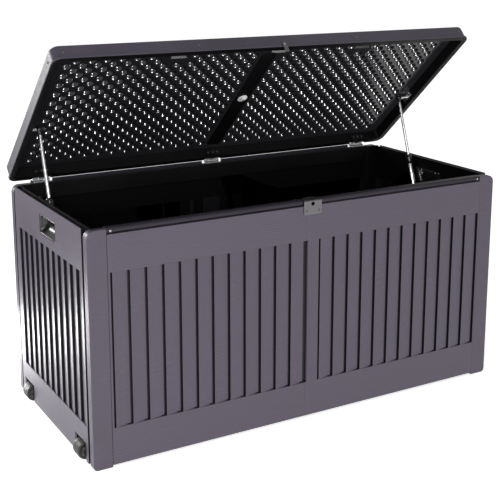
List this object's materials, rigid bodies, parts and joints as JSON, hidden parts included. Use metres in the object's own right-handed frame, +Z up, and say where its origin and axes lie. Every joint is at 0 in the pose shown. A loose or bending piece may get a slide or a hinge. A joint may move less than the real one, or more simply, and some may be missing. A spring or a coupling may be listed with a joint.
{
  "type": "deck storage box",
  "caption": "Lidded outdoor storage box of planked panels between corner posts, with a strut-held hinged lid, end handles and a pair of wheels at one end.",
  "frame": {"origin": "on the floor at the middle of the floor beam's underside, which is the middle of the box's footprint", "axes": "+X along the box away from its wheels, -Y out of the front, +Z up; the lid is hinged along X at the back and is modelled open by 42 degrees"},
  "size_m": [1.2075, 0.5546, 0.9646],
  "materials": {
    "moulded_plastic": "wood-grain moulded polypropylene, semi-matt anthracite",
    "black_plastic": "smooth black moulded plastic",
    "wheel_plastic": "hard grey plastic tread",
    "zinc_plated_steel": "zinc plated pressed steel",
    "chromed_steel": "polished chromed tube and rod",
    "rubber": "soft black rubber"
  },
  "bodies": {
    "box": {"back_panel_left": "moulded_plastic", "back_panel_right": "moulded_plastic", "back_rail": "moulded_plastic", "corner_post_back_left": "moulded_plastic", "corner_post_back_right": "moulded_plastic", "corner_post_front_left": "moulded_plastic", "corner_post_front_right": "moulded_plastic", "end_panel_left": "moulded_plastic", "end_panel_right": "moulded_plastic", "floor_beam": "moulded_plastic", "floor_panel_left": "moulded_plastic", "floor_panel_right": "moulded_plastic", "front_panel_left": "moulded_plastic", "front_panel_right": "moulded_plastic", "front_rail": "moulded_plastic", "handle_cup_left": "black_plastic", "handle_cup_right": "black_plastic", "hinge_box_leaf_1": "zinc_plated_steel", "hinge_box_leaf_2": "zinc_plated_steel", "hinge_box_leaf_3": "zinc_plated_steel", "hinge_pin_1": "zinc_plated_steel", "hinge_pin_2": "zinc_plated_steel", "hinge_pin_3": "zinc_plated_steel", "lid_buffer_left": "rubber", "lid_buffer_right": "rubber", "lock_plate": "zinc_plated_steel", "strut_wall_bracket_left": "zinc_plated_steel", "strut_wall_bracket_right": "zinc_plated_steel", "wheel_axle_back": "zinc_plated_steel", "wheel_axle_front": "zinc_plated_steel", "wheel_housing_back": "black_plastic", "wheel_housing_front": "black_plastic"},
    "lid": {"hinge_lid_leaf_1": "zinc_plated_steel", "hinge_lid_leaf_2": "zinc_plated_steel", "hinge_lid_leaf_3": "zinc_plated_steel", "lid_centre_bar": "moulded_plastic", "lid_centre_screw": "zinc_plated_steel", "lid_panel_left": "moulded_plastic", "lid_panel_right": "moulded_plastic", "lock_tongue": "zinc_plated_steel", "strut_lid_bracket_left": "zinc_plated_steel", "strut_lid_bracket_right": "zinc_plated_steel"},
    "strut_cylinder_left": {"strut_cylinder_left": "chromed_steel", "strut_gland_left": "black_plastic"},
    "strut_rod_left": {"strut_rod_left": "chromed_steel"},
    "strut_cylinder_right": {"strut_cylinder_right": "chromed_steel", "strut_gland_right": "black_plastic"},
    "strut_rod_right": {"strut_rod_right": "chromed_steel"},
    "wheel_front": {"wheel_front": "wheel_plastic", "wheel_hub_inner_front": "black_plastic", "wheel_hub_outer_front": "black_plastic"},
    "wheel_back": {"wheel_back": "wheel_plastic", "wheel_hub_inner_back": "black_plastic", "wheel_hub_outer_back": "black_plastic"}
  },
  "joints": [
    {"name": "lid_hinge", "type": "hinge", "parent": "box", "child": "lid", "pos_m": [0, 0.266, 0.578], "axis": [1, 0, 0], "range_deg": [0, 42]},
    {"name": "strut_pivot_left", "type": "hinge", "parent": "box", "child": "strut_cylinder_left", "pos_m": [-0.558, -0.0027, 0.3865], "axis": [1, 0, 0], "range_deg": [0, 5.4]},
    {"name": "strut_slide_left", "type": "slide", "parent": "strut_cylinder_left", "child": "strut_rod_left", "axis": [0, 0.3193, 0.9476], "range_m": [-0.1555, 0]},
    {"name": "strut_pivot_right", "type": "hinge", "parent": "box", "child": "strut_cylinder_right", "pos_m": [0.558, -0.0027, 0.3865], "axis": [1, 0, 0], "range_deg": [0, 5.4]},
    {"name": "strut_slide_right", "type": "slide", "parent": "strut_cylinder_right", "child": "strut_rod_right", "axis": [0, 0.3193, 0.9476], "range_m": [-0.1555, 0]},
    {"name": "wheel_turn_front", "type": "hinge", "parent": "box", "child": "wheel_front", "pos_m": [-0.582, -0.1875, 0.024], "axis": [0, 1, 0], "continuous": true},
    {"name": "wheel_turn_back", "type": "hinge", "parent": "box", "child": "wheel_back", "pos_m": [-0.582, 0.1875, 0.024], "axis": [0, 1, 0], "continuous": true}
  ],
  "couplings": [
    {"joint": "strut_pivot_left", "follows": "lid_hinge", "ratio": 0.12708},
    {"joint": "strut_slide_left", "follows": "lid_hinge", "m_per_rad": -0.21189},
    {"joint": "strut_pivot_right", "follows": "lid_hinge", "ratio": 0.12708},
    {"joint": "strut_slide_right", "follows": "lid_hinge", "m_per_rad": -0.21189}
  ]
}
